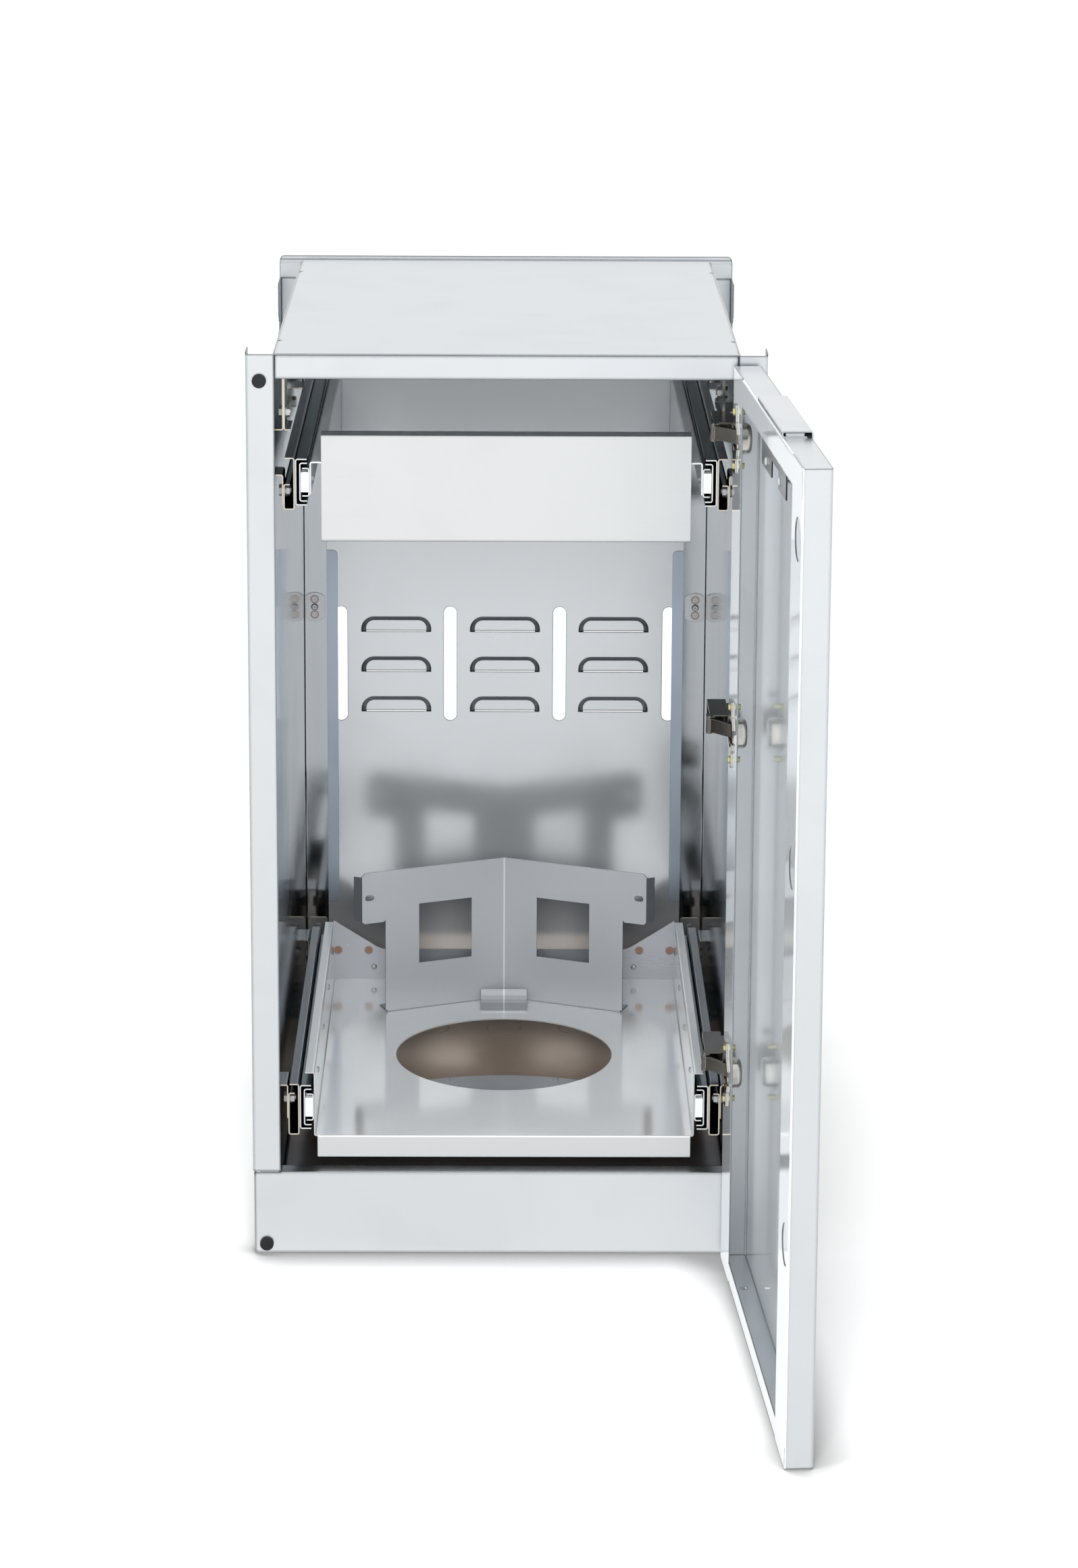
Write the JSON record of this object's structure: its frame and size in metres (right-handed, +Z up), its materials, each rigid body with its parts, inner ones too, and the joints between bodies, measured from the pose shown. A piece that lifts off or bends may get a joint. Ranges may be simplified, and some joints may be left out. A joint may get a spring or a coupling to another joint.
{
  "type": "outdoor storage cabinet",
  "caption": "Built-in stainless outdoor cabinet with a pull-out gas bottle tray, a shallow drawer above it and a full-height hollow door on concealed two-pivot hinges.",
  "frame": {"origin": "on the floor, under the middle of the cabinet's front face", "axes": "+X to the right as seen from the front, +Y into the cabinet, +Z up; the front face is the plane y = 0"},
  "size_m": [0.4831, 1.0219, 0.8388],
  "materials": {
    "outer_steel": "satin stainless, fine grain",
    "inner_steel": "bright cold-rolled stainless, near mirror at a low angle",
    "back_steel": "semi-bright stainless",
    "stiffener_steel": "dull blue-grey stainless",
    "plate_steel": "dull cut stainless, tan cut edges",
    "floor_steel": "dark-reflecting stainless",
    "tray_steel": "satin stainless with a gloss",
    "bracket_steel": "mid grey satin stainless",
    "front_steel": "horizontal brushed stainless",
    "handle_steel": "satin stainless",
    "slide_zinc": "clear zinc plated",
    "cage_steel": "oiled steel strip",
    "block_plastic": "white moulded",
    "nickel": "bright nickel plated",
    "yellow_zinc": "yellow zinc plated",
    "screw_steel": "plain stainless",
    "foot_zinc": "zinc plated",
    "bumper_rubber": "matt black"
  },
  "bodies": {
    "cabinet": {"left_stile": "outer_steel", "right_stile": "outer_steel", "top_rail": "outer_steel", "top_panel": "outer_steel", "kick_panel": "outer_steel", "left_side_panel": "inner_steel", "right_side_panel": "inner_steel", "back_panel": "back_steel", "rear_top_rail": "outer_steel", "left_rear_post": "outer_steel", "right_rear_post": "outer_steel", "rear_stiffeners": "stiffener_steel", "rear_joint_plates": "plate_steel", "rear_joint_screws": "screw_steel", "floor_pan": "floor_steel", "foot_sockets": "foot_zinc", "hanger_brackets": "inner_steel", "upper_slide_channels": "inner_steel", "lower_slide_channels": "inner_steel", "slide_wall_brackets": "inner_steel", "bracket_bolts": "screw_steel", "bracket_nuts": "screw_steel", "upper_outer_rails": "slide_zinc", "lower_outer_rails": "slide_zinc", "door_bumpers": "bumper_rubber", "hinge_arms": "nickel", "hinge_mount_plates": "nickel", "hinge_arm_pins": "nickel"},
    "drawer": {"drawer_front": "front_steel", "drawer_box": "inner_steel", "drawer_inner_rails": "slide_zinc", "drawer_end_blocks": "block_plastic", "drawer_side_screws": "screw_steel"},
    "drawer_middle": {"drawer_middle_rails": "slide_zinc", "drawer_ball_cages": "cage_steel"},
    "tray": {"tray_pan": "tray_steel", "tray_rear_wall": "plate_steel", "tray_support_plate": "plate_steel", "tray_inner_rails": "slide_zinc", "tray_end_blocks": "block_plastic", "bottle_bracket": "bracket_steel", "tray_rivets": "screw_steel"},
    "tray_middle": {"tray_middle_rails": "slide_zinc", "tray_ball_cages": "cage_steel"},
    "hinge_link": {"hinge_links": "nickel"},
    "door": {"door_shell": "outer_steel", "hinge_cups": "nickel", "hinge_cup_screws": "yellow_zinc", "hinge_cup_pins": "nickel", "door_handle": "handle_steel", "handle_backing_strip": "plate_steel", "handle_screws": "screw_steel"},
    "foot_fl": {"foot_front_left": "foot_zinc"},
    "foot_fr": {"foot_front_right": "foot_zinc"},
    "foot_rl": {"foot_rear_left": "foot_zinc"},
    "foot_rr": {"foot_rear_right": "foot_zinc"}
  },
  "joints": [
    {"name": "drawer_slide", "type": "slide", "parent": "cabinet", "child": "drawer", "axis": [0, -1, 0], "range_m": [0, 0.4]},
    {"name": "drawer_middle_slide", "type": "slide", "parent": "cabinet", "child": "drawer_middle", "axis": [0, -1, 0], "range_m": [0, 0.2]},
    {"name": "tray_slide", "type": "slide", "parent": "cabinet", "child": "tray", "axis": [0, -1, 0], "range_m": [0, 0.4]},
    {"name": "tray_middle_slide", "type": "slide", "parent": "cabinet", "child": "tray_middle", "axis": [0, -1, 0], "range_m": [0, 0.2]},
    {"name": "link_turn", "type": "hinge", "parent": "cabinet", "child": "hinge_link", "pos_m": [0.1815, -0.0004, 0.5], "axis": [0, 0, -1], "range_deg": [-36, 4.38]},
    {"name": "door_turn", "type": "hinge", "parent": "hinge_link", "child": "door", "pos_m": [0.202, -0.0232, 0.5], "axis": [0, 0, 1], "range_deg": [-129.61, 15.8]},
    {"name": "foot_fl_turn", "type": "hinge", "parent": "cabinet", "child": "foot_fl", "pos_m": [-0.18, 0.04, 0.03], "axis": [0, 0, 1], "range_deg": [-180, 180]},
    {"name": "foot_fr_turn", "type": "hinge", "parent": "cabinet", "child": "foot_fr", "pos_m": [0.18, 0.04, 0.03], "axis": [0, 0, 1], "range_deg": [-180, 180]},
    {"name": "foot_rl_turn", "type": "hinge", "parent": "cabinet", "child": "foot_rl", "pos_m": [-0.18, 0.505, 0.03], "axis": [0, 0, 1], "range_deg": [-180, 180]},
    {"name": "foot_rr_turn", "type": "hinge", "parent": "cabinet", "child": "foot_rr", "pos_m": [0.18, 0.505, 0.03], "axis": [0, 0, 1], "range_deg": [-180, 180]}
  ],
  "couplings": [
    {"joint": "drawer_middle_slide", "follows": "drawer_slide", "ratio": 0.5},
    {"joint": "tray_middle_slide", "follows": "tray_slide", "ratio": 0.5},
    {"joint": "door_turn", "follows": "link_turn", "ratio": 3.6}
  ]
}
